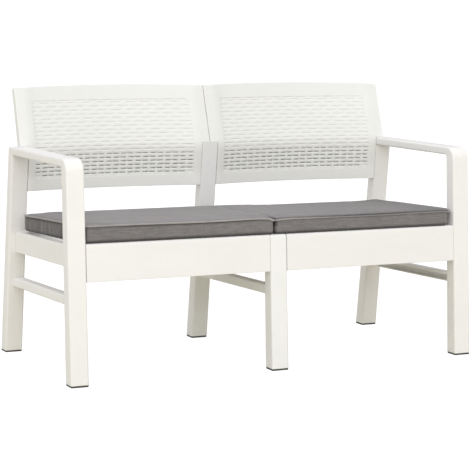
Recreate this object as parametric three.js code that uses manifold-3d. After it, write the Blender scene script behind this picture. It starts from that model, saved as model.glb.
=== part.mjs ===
// Two-seat garden bench in moulded plastic, with loose seat cushions.
// Millimetres, +Z up.  X runs along the bench (left to right for someone
// standing in front of it), -Y is the front, the origin is on the ground in
// the middle of the bench's footprint.
//
// The bench is a kit of mouldings.  Two arm frames and one centre frame stand
// on the ground; two seat mouldings drop between them and are screwed down
// into the frames' side rails; two backrest mouldings slide down grooves in
// the rear posts and are held by screws from behind.  The legs are hollow from
// below and each one is closed by a soft foot with a plug.

import * as THREE from 'three';
import { mergeVertices } from 'three/addons/utils/BufferGeometryUtils.js';
import Module from 'manifold-3d';

const wasm = await Module();
wasm.setup();

// ---------------------------------------------------------------- dimensions
const BENCH_W = 1200;        // overall width
const Y_SHIFT = -289.29;     // centres the footprint on the origin

const LEG_W = 49.5;           // width of every leg and post, along X
const LEG_BOTTOM = 5;        // height at which the hollow legs end and the feet begin
const LEG_WALL = 4;          // wall of the hollow legs

const FRONT_Y0 = -2.5;       // front face of the front legs at the ground
const FRONT_LEAN = 0.0586;   // front face of the front legs moves back this much per mm of height
const FRONT_D0 = 44.8;       // depth of a front leg at the ground
const FRONT_D1 = 38.6;       // depth of a front leg at 600 mm
const REAR_Y0 = 537.1;       // front face of the rear legs at the ground
const REAR_LEAN = -0.1245;   // its slope: the posts rise forwards
const REAR_D0 = 44.4;        // depth of a rear leg at the ground
const REAR_D1 = 34.6;        // depth of a rear leg at 600 mm

const ARM_TOP = 586.3;       // top of the armrests and of the centre post
const ARM_T = 23;            // thickness of an armrest
const ARM_NOSE_R = 34;       // outer radius where the front leg turns into the armrest
const EDGE_R = 5;            // rounding of the mouldings' long edges

const RAIL_INSET = 18;       // outer face of the seat rails, in from the frame's outer face
const STRETCH_INSET = 15;    // the same for the stretchers
const RAIL_W = 30;           // their width along X
const SEAT_RAIL_W = 38;      // the outer seat rails are this wide where the deck is screwed down
const RAIL_TOP = 363.4;      // top of a seat rail at y = 0
const RAIL_BOTTOM = 304.8;   // underside of a seat rail at y = 0
const SEAT_SLOPE = -0.0304;  // everything that carries the seat falls this much per mm towards the back
const STRETCH_TOP = 230.9;   // top of a stretcher at y = 0
const STRETCH_BOTTOM = 205.0;// underside of a stretcher at y = 0
const STRETCH_SLOPE = -0.027;
const CENTRE_STRETCH_DROP = 2.9; // the centre frame's stretcher sits this much lower
const CENTRE_RAIL_W = 44;    // the middle rail carries both seats

const DECK_T = 4.7;          // thickness of the seat deck
const DECK_GAP = 0.3;        // between touching mouldings
const DECK_OVERHANG = 9;     // how far a deck reaches over the outer rails past the legs' inner faces
const DECK_BACK_Y = 486;     // rear edge of the seat deck
const APRON_BOTTOM = 268.8;  // underside of the front aprons
const APRON_T = 5;           // wall of the aprons
const APRON_RECESS = 1.2;    // apron face behind the legs' front faces
const APRON_GAP = 0.7;       // between an apron's end and the leg beside it
const SKIRT_DROP = 38;       // height of the rear skirt under the deck
const RIB_DROP = 12;         // height of the ribs under the deck
const RIB_T = 3.5;

const BACK_BOTTOM = 460.6;   // lower edge of the backrests at the ends
const BACK_TOP = 746.5;      // upper edge of the backrests at their inner ends
const BACK_TOP_FALL = 2.2;   // how much lower it is at the outer ends
const BACK_ARCH_TOP = 4.6;   // rise of the upper edge in the middle of each backrest
const BACK_BOW = 35;         // curve in plan: the middle of a backrest lies this far behind its ends
const BACK_BOW_EASE = 0.15;  // share of the half width over which the curve eases out at the posts
const BACK_OUTER_X = 574.8;  // outer end of the upper part, on top of the arm frame
const REST_STEP = 0.5;       // shallow step in the arm and post tops that the backrest's shoulder sits in
const BACK_SEAM = 1.6;       // gap between the two backrests
const BACK_SIDE_GAP = 0.6;   // between the lower part and the posts
const BACK_BEND_Z = 580;     // height where the face bends from upright to reclined
const BACK_RECLINE = 0.345;  // slope of the reclined upper part
const BACK_T_LOW = 20;       // thickness of the lower part
const BACK_T_SHOULDER = 27;  // depth of the upper part where it sits on the posts
const BACK_T_TOP = 17.5;     // depth of the upper part at its upper edge

const TONGUE_W = 10;         // tongues on the backrests' sides, along X
const TONGUE_T = 8;          // and along Y
const TONGUE_SET = 9;        // behind the post's front face
const GROOVE_CLEAR = 0.4;

const CUSHION_T = 46;        // thickness of a cushion
const CUSHION_FRONT = 24;
const CUSHION_BACK = 458;
const CUSHION_R = 22;        // corner radius in plan
const CUSHION_WIDE = [[60, 560], [434, 571]]; // behind the front leg it is wider: [length from its front, |x|] of the outer side

const SCREW_R = 2;           // shank radius of all screws
const SCREW_HOLE_R = 2.35;
const HEAD_R = 4.2;
const HEAD_H = 2.4;

// ------------------------------------------------------------------ materials
const PLASTIC = new THREE.MeshStandardMaterial({ color: 0xefece4, roughness: 0.5, metalness: 0 });
const PANEL = new THREE.MeshStandardMaterial({ color: 0xf0efe8, roughness: 0.5, metalness: 0 });
const FABRIC = new THREE.MeshStandardMaterial({ color: 0x807a79, roughness: 0.95, metalness: 0 });
const RUBBER = new THREE.MeshStandardMaterial({ color: 0x55534f, roughness: 0.8, metalness: 0 });
const STEEL = new THREE.MeshStandardMaterial({ color: 0xb5b5b2, roughness: 0.35, metalness: 1 });

// ------------------------------------------------------------ solid functions
function toSolid(geometry) {
  const g = geometry.clone();
  g.deleteAttribute('normal');
  g.deleteAttribute('uv');
  const m = mergeVertices(g, 1e-4);
  return new wasm.Manifold(new wasm.Mesh({
    numProp: 3,
    vertProperties: new Float32Array(m.attributes.position.array),
    triVerts: new Uint32Array(m.index.array),
  }));
}

function toGeometry(solid) {
  const mesh = solid.getMesh();
  const g = new THREE.BufferGeometry();
  g.setAttribute('position', new THREE.BufferAttribute(new Float32Array(mesh.vertProperties), 3));
  g.setIndex(new THREE.BufferAttribute(new Uint32Array(mesh.triVerts), 1));
  const flat = g.toNonIndexed();
  flat.computeVertexNormals();
  return flat;
}

// A closed outline whose corners [a, b, radius] are rounded.
function rounded(corners, segments = 4) {
  const out = [];
  const n = corners.length;
  for (let i = 0; i < n; i++) {
    const [px, py] = corners[(i + n - 1) % n];
    const [cx, cy, r = 0] = corners[i];
    const [nx, ny] = corners[(i + 1) % n];
    if (!r) { out.push([cx, cy]); continue; }
    const a = new THREE.Vector2(px - cx, py - cy).normalize();
    const b = new THREE.Vector2(nx - cx, ny - cy).normalize();
    const half = Math.acos(THREE.MathUtils.clamp(a.dot(b), -1, 1)) / 2;
    const d = r / Math.tan(half);
    const bis = a.clone().add(b).normalize();
    const c = new THREE.Vector2(cx, cy).addScaledVector(bis, r / Math.sin(half));
    const s = new THREE.Vector2(cx, cy).addScaledVector(a, d).sub(c);
    const e = new THREE.Vector2(cx, cy).addScaledVector(b, d).sub(c);
    let t0 = Math.atan2(s.y, s.x);
    let dt = Math.atan2(e.y, e.x) - t0;
    if (dt > Math.PI) dt -= 2 * Math.PI;
    if (dt < -Math.PI) dt += 2 * Math.PI;
    for (let k = 0; k <= segments; k++) {
      const t = t0 + (dt * k) / segments;
      out.push([c.x + r * Math.cos(t), c.y + r * Math.sin(t)]);
    }
  }
  return out;
}

function extruded(points, from, to, bevel, segments) {
  const shape = new THREE.Shape(points.map(([a, b]) => new THREE.Vector2(a, b)));
  const g = new THREE.ExtrudeGeometry(shape, {
    depth: to - from - 2 * bevel,
    steps: 1,
    bevelEnabled: bevel > 0,
    bevelThickness: bevel,
    bevelSize: bevel,
    bevelOffset: -bevel,
    bevelSegments: segments,
  });
  g.translate(0, 0, from + bevel);
  return g;
}

// Outline in (y, z), extruded along X.
function prismX(points, x0, x1, bevel = 0, segments = 2) {
  const g = extruded(points, x0, x1, bevel, segments);
  g.applyMatrix4(new THREE.Matrix4().set(0, 0, 1, 0, 1, 0, 0, 0, 0, 1, 0, 0, 0, 0, 0, 1));
  return g;
}

// Outline in (x, z), extruded along Y from y0 to y1.
function prismY(points, y0, y1, bevel = 0, segments = 2) {
  const g = extruded(points, -y1, -y0, bevel, segments);
  g.applyMatrix4(new THREE.Matrix4().set(1, 0, 0, 0, 0, 0, -1, 0, 0, 1, 0, 0, 0, 0, 0, 1));
  return g;
}

// Outline in (x, y), extruded along Z.
function prismZ(points, z0, z1, bevel = 0, segments = 2) {
  return extruded(points, z0, z1, bevel, segments);
}

function box(x0, x1, y0, y1, z0, z1) {
  const g = new THREE.BoxGeometry(x1 - x0, y1 - y0, z1 - z0);
  g.translate((x0 + x1) / 2, (y0 + y1) / 2, (z0 + z1) / 2);
  return g;
}

const group = new THREE.Group();

function add(name, geometry, material) {
  const mesh = new THREE.Mesh(geometry, material);
  mesh.name = name;
  mesh.position.set(0, Y_SHIFT, 0);
  group.add(mesh);
  return mesh;
}

// ------------------------------------------------------------- section curves
const frontFace = (z) => FRONT_Y0 + FRONT_LEAN * z;
const frontBack = (z) => frontFace(z) + FRONT_D0 + ((FRONT_D1 - FRONT_D0) * z) / 600;
const rearFace = (z) => REAR_Y0 + REAR_LEAN * z;
const rearBack = (z) => rearFace(z) + REAR_D0 + ((REAR_D1 - REAR_D0) * z) / 600;
const railTop = (y) => RAIL_TOP + SEAT_SLOPE * y;
const railBottom = (y) => RAIL_BOTTOM + SEAT_SLOPE * y;
const deckBottom = (y) => railTop(y) + DECK_GAP;
const deckTop = (y) => deckBottom(y) + DECK_T;
const stretchTop = (y) => STRETCH_TOP + STRETCH_SLOPE * y;
const stretchBottom = (y) => STRETCH_BOTTOM + STRETCH_SLOPE * y;

// --------------------------------------------------------------------- frames
const HALF = BENCH_W / 2;
const POST_TOP = ARM_TOP;

// Blind hollow of a front leg (y, z outline).
function frontHollow(top) {
  return [
    [frontFace(-10) + LEG_WALL, -10], [frontBack(-10) - LEG_WALL, -10],
    [frontBack(top) - LEG_WALL, top], [frontFace(top) + LEG_WALL, top],
  ];
}
function rearHollow(top) {
  return [
    [rearFace(-10) + LEG_WALL, -10], [rearBack(-10) - LEG_WALL, -10],
    [rearBack(top) - LEG_WALL, top], [rearFace(top) + LEG_WALL, top],
  ];
}

// Groove that a backrest's tongue slides down, open at the post's top.
function grooveOutline() {
  const s = TONGUE_SET - GROOVE_CLEAR;
  const e = TONGUE_SET + TONGUE_T + GROOVE_CLEAR;
  const z0 = BACK_BOTTOM - 2;
  const z1 = ARM_TOP + 5;
  return [
    [rearFace(z0) + s, z0], [rearFace(z0) + e, z0],
    [rearFace(z1) + e, z1], [rearFace(z1) + s, z1],
  ];
}

// Heights and depths of the screws that hold the backrests.
const BACK_SCREW_Z = [492, 548];
// Positions of the screws that hold the seats down, along Y.
const SEAT_SCREW_Y = [96, 440];
const SEAT_SCREW_LEN = 26;
const SEAT_SCREW_IN = 2;     // outer seat screws, inwards of the legs' inner faces
const BACK_SCREW_LEN = 22;

// Screw hole along Y, seen from behind: shank clearance, head counterbore.
function backScrewCut(x, z) {
  const head = rearBack(z) - 4.2;
  const shank = new THREE.CylinderGeometry(SCREW_HOLE_R, SCREW_HOLE_R, BACK_SCREW_LEN + 3, 12);
  shank.translate(x, head - (BACK_SCREW_LEN + 3) / 2 + 1, z);
  const s = new THREE.CylinderGeometry(SCREW_HOLE_R, SCREW_HOLE_R, 24, 12);
  s.translate(x, head - BACK_SCREW_LEN - 1 + 12, z);
  const h = new THREE.CylinderGeometry(HEAD_R + 0.4, HEAD_R + 0.4, 20, 12);
  h.translate(x, head + 10, z);
  return toSolid(s).add(toSolid(h));
}

// Screw hole along Z in a rail, from its top.
function seatScrewCut(x, y) {
  const top = railTop(y);
  const s = new THREE.CylinderGeometry(SCREW_HOLE_R, SCREW_HOLE_R, SEAT_SCREW_LEN + 6, 12);
  s.rotateX(Math.PI / 2);
  s.translate(x, y, top - SEAT_SCREW_LEN + (SEAT_SCREW_LEN + 6) / 2 + 1.4);
  return toSolid(s);
}

// Pockets under a rail that leave a wall all round and solid blocks at the screws.
function railPockets(x0, x1) {
  const cuts = [];
  for (const [a, b] of [[112, 205], [213, 318], [326, 424]]) {
    cuts.push(toSolid(prismX([
      [a, railBottom(a) - 5], [b, railBottom(b) - 5], [b, railTop(b) - 5], [a, railTop(a) - 5],
    ], x0 + 4, x1 - 4)));
  }
  return cuts;
}

function railSolid(x0, x1, a = 26, b = 508) {
  return toSolid(prismX([
    [a, railBottom(a)], [b, railBottom(b)], [b, railTop(b)], [a, railTop(a)],
  ], x0, x1, 2.5, 2));
}

function stretcherSolid(x0, x1, drop = 0) {
  const a = 20, b = 524;
  return toSolid(prismX([
    [a, stretchBottom(a) - drop], [b, stretchBottom(b) - drop], [b, stretchTop(b) - drop], [a, stretchTop(a) - drop],
  ], x0, x1, 4, 3));
}

// side = -1 for the left arm frame, +1 for the right one.
function armFrame(side) {
  const outer = side * HALF;
  const inner = side * (HALF - LEG_W);
  const x0 = Math.min(outer, inner), x1 = Math.max(outer, inner);
  const zU = ARM_TOP - ARM_T;
  const loop = rounded([
    [frontFace(-6), -6],
    [frontFace(ARM_TOP), ARM_TOP, ARM_NOSE_R],
    [rearBack(ARM_TOP), ARM_TOP, 6.5],
    [rearBack(-6), -6],
    [rearFace(-6), -6],
    [rearFace(zU), zU, 5],
    [frontBack(zU), zU, 10],
    [frontBack(-6), -6],
  ], 7);
  let s = toSolid(prismX(loop, x0, x1, EDGE_R, 3));
  const railOut = side * (HALF - RAIL_INSET);
  const railIn = side * (HALF - RAIL_INSET - SEAT_RAIL_W);
  const r0 = Math.min(railOut, railIn), r1 = Math.max(railOut, railIn);
  const st = side * (HALF - STRETCH_INSET);
  const railEnd = side * (HALF - RAIL_INSET - RAIL_W);
  s = s.add(railSolid(Math.min(railOut, railEnd), Math.max(railOut, railEnd))).add(railSolid(r0, r1, 69, 470));
  s = s.add(stretcherSolid(Math.min(st, st - side * RAIL_W), Math.max(st, st - side * RAIL_W)));
  for (const c of railPockets(r0, r1)) s = s.subtract(c);
  s = s.subtract(toSolid(box(x0 - 10, x1 + 10, -50, 700, -40, LEG_BOTTOM)));
  s = s.subtract(toSolid(prismX(frontHollow(540), x0 + LEG_WALL, x1 - LEG_WALL)));
  s = s.subtract(toSolid(prismX(rearHollow(445), x0 + LEG_WALL, x1 - LEG_WALL)));
  const g0 = Math.min(inner, inner + side * (TONGUE_W + GROOVE_CLEAR));
  const g1 = Math.max(inner, inner + side * (TONGUE_W + GROOVE_CLEAR));
  s = s.subtract(toSolid(prismX(grooveOutline(), side < 0 ? g0 : g0 - 5, side < 0 ? g1 + 5 : g1)));
  for (const z of BACK_SCREW_Z) s = s.subtract(backScrewCut(inner + side * TONGUE_W * 0.5, z));
  for (const y of SEAT_SCREW_Y) s = s.subtract(seatScrewCut(inner - side * SEAT_SCREW_IN, y));
  s = s.subtract(toSolid(box(x0 - 10, x1 + 10, backFace(ARM_TOP) - 1.5, 700, ARM_TOP - REST_STEP, ARM_TOP + 10)));
  return toGeometry(s);
}

function centreFrame() {
  const h = LEG_W / 2;
  const topF = (y) => deckTop(y);
  let s = toSolid(prismX(rounded([
    [frontFace(-6), -6],
    [frontFace(topF(22)), topF(22), 7],
    [frontBack(topF(57)), topF(57), 7],
    [frontBack(-6), -6],
  ], 4), -h, h, EDGE_R, 3));
  s = s.add(toSolid(prismX([
    [rearFace(-6), -6], [rearFace(POST_TOP + 8), POST_TOP + 8],
    [rearBack(POST_TOP + 8), POST_TOP + 8], [rearBack(-6), -6],
  ], -h, h, EDGE_R, 3)));
  s = s.subtract(toSolid(box(-60, 60, 300, 700, POST_TOP - REST_STEP, POST_TOP + 40)));
  s = s.add(railSolid(-CENTRE_RAIL_W / 2, CENTRE_RAIL_W / 2));
  s = s.add(stretcherSolid(-RAIL_W / 2, RAIL_W / 2, CENTRE_STRETCH_DROP));
  for (const c of railPockets(-CENTRE_RAIL_W / 2, CENTRE_RAIL_W / 2)) s = s.subtract(c);
  s = s.subtract(toSolid(box(-60, 60, -50, 700, -40, LEG_BOTTOM)));
  s = s.subtract(toSolid(prismX(frontHollow(300), -h + LEG_WALL, h - LEG_WALL)));
  s = s.subtract(toSolid(prismX(rearHollow(445), -h + LEG_WALL, h - LEG_WALL)));
  for (const side of [-1, 1]) {
    const g0 = side < 0 ? -h - 5 : h - TONGUE_W - GROOVE_CLEAR;
    const g1 = side < 0 ? -h + TONGUE_W + GROOVE_CLEAR : h + 5;
    s = s.subtract(toSolid(prismX(grooveOutline(), g0, g1)));
    for (const z of BACK_SCREW_Z) s = s.subtract(backScrewCut(side * (h - TONGUE_W * 0.5), z));
    for (const y of SEAT_SCREW_Y) s = s.subtract(seatScrewCut(side * 11, y));
  }
  return toGeometry(s);
}

add('left_arm_frame', armFrame(-1), PLASTIC);
add('right_arm_frame', armFrame(1), PLASTIC);
add('centre_frame', centreFrame(), PLASTIC);

// ---------------------------------------------------------------------- seats
function seat(side) {
  // Inner edge at the bench's middle, outer edge over the arm frame's rail.
  const legIn = side * (HALF - LEG_W - APRON_GAP);
  const legMid = side * (LEG_W / 2 + APRON_GAP);
  const edgeOut = side * (HALF - LEG_W + DECK_OVERHANG);
  const edgeMid = side * 0.6;
  const lo = (a, b) => Math.min(a, b);
  const hi = (a, b) => Math.max(a, b);
  const yA = 62;                       // the deck is notched round the front legs up to here
  const plate = (xa, xb, ya, yb) => toSolid(prismX([
    [ya, deckBottom(ya)], [yb, deckBottom(yb)], [yb, deckTop(yb)], [ya, deckTop(ya)],
  ], lo(xa, xb), hi(xa, xb)));
  // Front apron with a rounded top edge, its face in line with the legs.
  const zt = deckTop(24);
  const yf = (z) => frontFace(z) + APRON_RECESS;
  let s = toSolid(prismX(rounded([
    [yf(APRON_BOTTOM), APRON_BOTTOM, 1.5],
    [yf(APRON_BOTTOM) + APRON_T, APRON_BOTTOM, 1.5],
    [yf(zt - DECK_T) + APRON_T, zt - DECK_T - 3, 0],
    [yA + 4, deckBottom(yA + 4)],
    [yA + 4, deckTop(yA + 4)],
    [yf(zt), zt, 7],
  ], 4), lo(legIn, legMid), hi(legIn, legMid)));
  s = s.add(plate(edgeOut, edgeMid, yA, DECK_BACK_Y));
  // Rear skirt and ribs under the deck, between the rails.
  const inOut = side * (HALF - RAIL_INSET - SEAT_RAIL_W - 2.5);
  const inMid = side * (LEG_W / 2 + APRON_GAP);
  s = s.add(toSolid(prismX([
    [DECK_BACK_Y - 5, deckBottom(DECK_BACK_Y) - SKIRT_DROP], [DECK_BACK_Y, deckBottom(DECK_BACK_Y) - SKIRT_DROP],
    [DECK_BACK_Y, deckTop(DECK_BACK_Y)], [DECK_BACK_Y - 5, deckTop(DECK_BACK_Y - 5)],
  ], lo(inOut, inMid), hi(inOut, inMid))));
  const bays = 6;
  for (let i = 0; i <= bays; i++) {
    const x = inOut + ((inMid - inOut) * i) / bays;
    const xa = i === 0 ? (side < 0 ? x : x - RIB_T) : i === bays ? (side < 0 ? x - RIB_T : x) : x - RIB_T / 2;
    const ya = yf(zt) + 2;
    s = s.add(toSolid(prismX([
      [ya, deckBottom(ya) - RIB_DROP], [DECK_BACK_Y - 2, deckBottom(DECK_BACK_Y - 2) - RIB_DROP],
      [DECK_BACK_Y - 2, deckBottom(DECK_BACK_Y - 2) + 1], [ya, deckBottom(ya) + 1],
    ], xa, xa + RIB_T)));
  }
  // Return walls at the apron's ends.
  for (const x of [legIn, legMid]) {
    const inward = x === legIn ? -side : side;
    const xa = lo(x, x + inward * 4), xb = hi(x, x + inward * 4);
    s = s.add(toSolid(prismX([
      [yf(APRON_BOTTOM + 4) + 2, APRON_BOTTOM + 4], [yf(APRON_BOTTOM + 4) + 14, APRON_BOTTOM + 4],
      [52, deckBottom(52) + 1], [yf(zt) + 4, deckBottom(24) + 1],
    ], xa, xb)));
  }
  // Screw holes with a recess for the head, outer and middle edge.
  for (const y of SEAT_SCREW_Y) {
    for (const x of [side * (HALF - LEG_W - SEAT_SCREW_IN), side * 11]) {
      const c = new THREE.CylinderGeometry(SCREW_HOLE_R, SCREW_HOLE_R, 20, 12);
      c.rotateX(Math.PI / 2);
      c.translate(x, y, deckTop(y));
      const h = new THREE.CylinderGeometry(HEAD_R + 0.4, HEAD_R + 0.4, 10, 12);
      h.rotateX(Math.PI / 2);
      h.translate(x, y, deckTop(y) - 2.9 + 5);
      s = s.subtract(toSolid(c)).subtract(toSolid(h));
    }
  }
  return toGeometry(s);
}

add('left_seat', seat(-1), PLASTIC);
add('right_seat', seat(1), PLASTIC);

// ------------------------------------------------------------------ backrests
// Front face line (y at height z): in line with the posts below, reclined above.
function backFace(z) {
  const low = rearFace(z);
  const yb = rearFace(BACK_BEND_Z);
  const high = yb + BACK_RECLINE * (z - BACK_BEND_Z);
  // Blend over a short radius so that the bend is soft.
  const w = 16;
  const t = THREE.MathUtils.clamp((z - BACK_BEND_Z + w) / (2 * w), 0, 1);
  if (t <= 0) return low;
  if (t >= 1) return high;
  const z0 = BACK_BEND_Z - w;
  const p0 = rearFace(z0);
  return p0 + REAR_LEAN * (z - z0) + ((BACK_RECLINE - REAR_LEAN) * (z - z0) ** 2) / (4 * w);
}

// How far the curve carries a backrest back at x.
function bow(x) {
  const xe = LEG_W / 2 + BACK_SIDE_GAP;
  const half = (HALF - LEG_W - BACK_SIDE_GAP - xe) / 2;
  const u = 1 - Math.abs(Math.abs(x) - xe - half) / half;
  if (u <= 0) return 0;
  if (u >= BACK_BOW_EASE) return BACK_BOW * u * (2 - u);
  const e = BACK_BOW_EASE, q = u / e;
  return BACK_BOW * (e * (2 - e) * (3 * q ** 2 - 2 * q ** 3) + 2 * e * (1 - e) * (q ** 3 - q ** 2));
}

// Outline in (y, z), run along X through the stations and curved in plan.
function bowed(points, stations) {
  const n = stations.length - 1;
  const shape = new THREE.Shape(points.map(([a, b]) => new THREE.Vector2(a, b)));
  const g = new THREE.ExtrudeGeometry(shape, { depth: n, steps: n, bevelEnabled: false });
  g.applyMatrix4(new THREE.Matrix4().set(0, 0, 1, 0, 1, 0, 0, 0, 0, 1, 0, 0, 0, 0, 0, 1));
  const p = g.attributes.position;
  for (let i = 0; i < p.count; i++) {
    const x = stations[Math.round(p.getX(i))];
    p.setXYZ(i, x, p.getY(i) + bow(x), p.getZ(i));
  }
  return g;
}

function backrest(side) {
  const zTop = BACK_TOP + BACK_ARCH_TOP + 4;
  const zLow = BACK_BOTTOM;
  const shoulder = POST_TOP - REST_STEP + DECK_GAP;
  const lowProfile = [];
  for (const z of [zLow, 520, 564, 570, 576, 582, 588]) lowProfile.push([backFace(z), z]);
  // Lower part between the posts.
  const lowPts = [...lowProfile,
    [backFace(588) + BACK_T_SHOULDER, 588], [backFace(578) + BACK_T_LOW + 2, 574], [backFace(560) + BACK_T_LOW, 556],
    [backFace(zLow) + BACK_T_LOW, zLow]];
  // Upper part on top of the posts.
  const upPts = [];
  for (const z of [shoulder, 588, 592, 596, zTop]) upPts.push([backFace(z), z]);
  upPts.push([backFace(zTop) + BACK_T_TOP - 0.4, zTop], [backFace(shoulder) + BACK_T_SHOULDER, shoulder]);

  const xLo = side * (LEG_W / 2 + BACK_SIDE_GAP), xHi = side * (HALF - LEG_W - BACK_SIDE_GAP);
  const a = Math.min(xLo, xHi), b = Math.max(xLo, xHi);
  const uLo = side * (BACK_SEAM / 2), uHi = side * BACK_OUTER_X;
  const c = Math.min(uLo, uHi), d = Math.max(uLo, uHi);

  // Arched upper edge, as seen from the front.
  const arch = (x, x0, x1) => 1 - ((2 * (x - x0)) / (x1 - x0) - 1) ** 2;
  const stations = [];
  for (let i = 0; i <= 24; i++) {
    const t = i / 24;
    stations.push(a + (b - a) * (0.5 * t + 0.25 * (1 - Math.cos(Math.PI * t))));
  }
  const N = 16;
  const upOutline = [[c, shoulder - 1], [d, shoulder - 1]];
  for (let i = 0; i <= N; i++) {
    const x = d + ((c - d) * i) / N;
    upOutline.push([x, BACK_TOP - (BACK_TOP_FALL * Math.abs(x)) / BACK_OUTER_X + BACK_ARCH_TOP * arch(x, c, d)]);
  }
  let low = toSolid(bowed(lowPts, stations));
  const up = toSolid(bowed(upPts, [c, ...stations, d])).intersect(toSolid(prismY(upOutline, 300, 700)));
  // Tongues in the posts' grooves, hanging from the upper part.
  for (const [x, dir] of [[a, -1], [b, 1]]) {
    const z0 = BACK_BOTTOM + 1, z1 = shoulder + 4;
    const t = [
      [rearFace(z0) + TONGUE_SET, z0], [rearFace(z0) + TONGUE_SET + TONGUE_T, z0],
      [rearFace(z1) + TONGUE_SET + TONGUE_T, z1], [rearFace(z1) + TONGUE_SET, z1],
    ];
    const reach = TONGUE_W + BACK_SIDE_GAP - 0.4;
    const x0 = dir < 0 ? x - reach : x - 4, x1 = dir < 0 ? x + 4 : x + reach;
    low = low.add(toSolid(prismX(t, x0, x1)));
  }
  let s = low.add(up);
  const h = LEG_W / 2;
  for (const z of BACK_SCREW_Z) {
    for (const x of [side * (HALF - LEG_W + TONGUE_W * 0.5), side * (h - TONGUE_W * 0.5)]) {
      const k = new THREE.CylinderGeometry(SCREW_HOLE_R, SCREW_HOLE_R, 60, 12);
      k.translate(x, rearFace(z) + 15, z);
      s = s.subtract(toSolid(k));
    }
  }
  return toGeometry(s);
}

add('left_backrest', backrest(-1), PANEL);
add('right_backrest', backrest(1), PANEL);

// ----------------------------------------------------------------------- feet
// Pad under the leg with a plug that fits the leg's hollow.
function foot(xc, face, back) {
  const h = LEG_W / 2 - 1;
  const top = LEG_BOTTOM - 0.3;
  const y0 = face(0) + 1, y1 = back(0) - 1;
  let s = toSolid(prismZ(rounded([
    [xc - h, y0, 3], [xc + h, y0, 3], [xc + h, y1, 3], [xc - h, y1, 3],
  ], 3), 0, top));
  const g = 0.35;
  const z1 = 28;
  s = s.add(toSolid(prismX([
    [face(2) + LEG_WALL + g, 2], [back(2) - LEG_WALL - g, 2],
    [back(z1) - LEG_WALL - g, z1], [face(z1) + LEG_WALL + g, z1],
  ], xc - LEG_W / 2 + LEG_WALL + g, xc + LEG_W / 2 - LEG_WALL - g)));
  return toGeometry(s);
}

const legX = { left: -HALF + LEG_W / 2, centre: 0, right: HALF - LEG_W / 2 };
for (const key of ['left', 'centre', 'right']) {
  add(`foot_${key}_front`, foot(legX[key], frontFace, frontBack), RUBBER);
  add(`foot_${key}_rear`, foot(legX[key], rearFace, rearBack), RUBBER);
}

// --------------------------------------------------------------------- screws
function screwSolid(length) {
  // Along +Z, underside of the head at z = 0, domed head with a cross recess.
  const profile = [
    [0, HEAD_H], [HEAD_R * 0.55, HEAD_H], [HEAD_R * 0.9, HEAD_H * 0.62], [HEAD_R, HEAD_H * 0.25], [HEAD_R, 0],
    [SCREW_R, 0], [SCREW_R, -length + 3], [0.4, -length], [0, -length],
  ].map(([r, z]) => new THREE.Vector2(r, z)).reverse();
  const g = new THREE.LatheGeometry(profile, 12);
  g.rotateX(Math.PI / 2);
  let s = toSolid(g);
  s = s.subtract(toSolid(box(-0.5, 0.5, -1.9, 1.9, HEAD_H - 1.2, HEAD_H + 1)));
  s = s.subtract(toSolid(box(-1.9, 1.9, -0.5, 0.5, HEAD_H - 1.2, HEAD_H + 1)));
  return toGeometry(s);
}

const seatScrew = screwSolid(SEAT_SCREW_LEN - 1);
const backScrew = screwSolid(BACK_SCREW_LEN - 1);

function placeScrew(name, geometry, x, y, z, alongY) {
  const m = add(name, geometry.clone(), STEEL);
  m.position.set(x, y + Y_SHIFT, z);
  if (alongY) m.rotation.set(-Math.PI / 2, 0, 0);
  return m;
}

for (const [word, side] of [['left', -1], ['right', 1]]) {
  for (const [where, x] of [['outer', side * (HALF - LEG_W - SEAT_SCREW_IN)], ['inner', side * 11]]) {
    SEAT_SCREW_Y.forEach((y, i) => {
      placeScrew(`${word}_seat_screw_${where}_${i ? 'rear' : 'front'}`, seatScrew, x, y, deckTop(y) - 2.9 + 0.3, false);
    });
  }
  for (const [where, x] of [['outer', side * (HALF - LEG_W + TONGUE_W * 0.5)], ['inner', side * (LEG_W / 2 - TONGUE_W * 0.5)]]) {
    BACK_SCREW_Z.forEach((z, i) => {
      placeScrew(`${word}_back_screw_${where}_${i ? 'upper' : 'lower'}`, backScrew, x, rearBack(z) - 4.2 + 0.3, z, true);
    });
  }
}

// ------------------------------------------------------------------- cushions
// Plain box cushions lying on the sloping decks; the length runs across the seat.
function cushion(side) {
  const outer = side * (HALF - LEG_W - 3);
  const inner = side * 2.4;
  const slope = Math.atan(-SEAT_SLOPE);
  const L = (CUSHION_BACK - CUSHION_FRONT) / Math.cos(slope);
  const [[wideA, wideX], [, rearX]] = CUSHION_WIDE;
  const outline = [
    [inner, 0, CUSHION_R], [outer, 0, CUSHION_R], [outer, wideA - 11, 0], [side * wideX, wideA, 8],
    [side * rearX, L, CUSHION_R], [inner, L, CUSHION_R],
  ];
  const pts = rounded(side < 0 ? outline.reverse() : outline, 4);
  const g = prismZ(pts, 0, CUSHION_T, 5, 2);
  g.rotateX(-slope);
  g.translate(0, CUSHION_FRONT, deckTop(CUSHION_FRONT) + 0.5);
  return g;
}

add('left_cushion', cushion(-1), FABRIC);
add('right_cushion', cushion(1), FABRIC);

export default group;
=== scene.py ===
import math

import bpy
import numpy as np
from mathutils import Matrix, Vector

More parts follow.
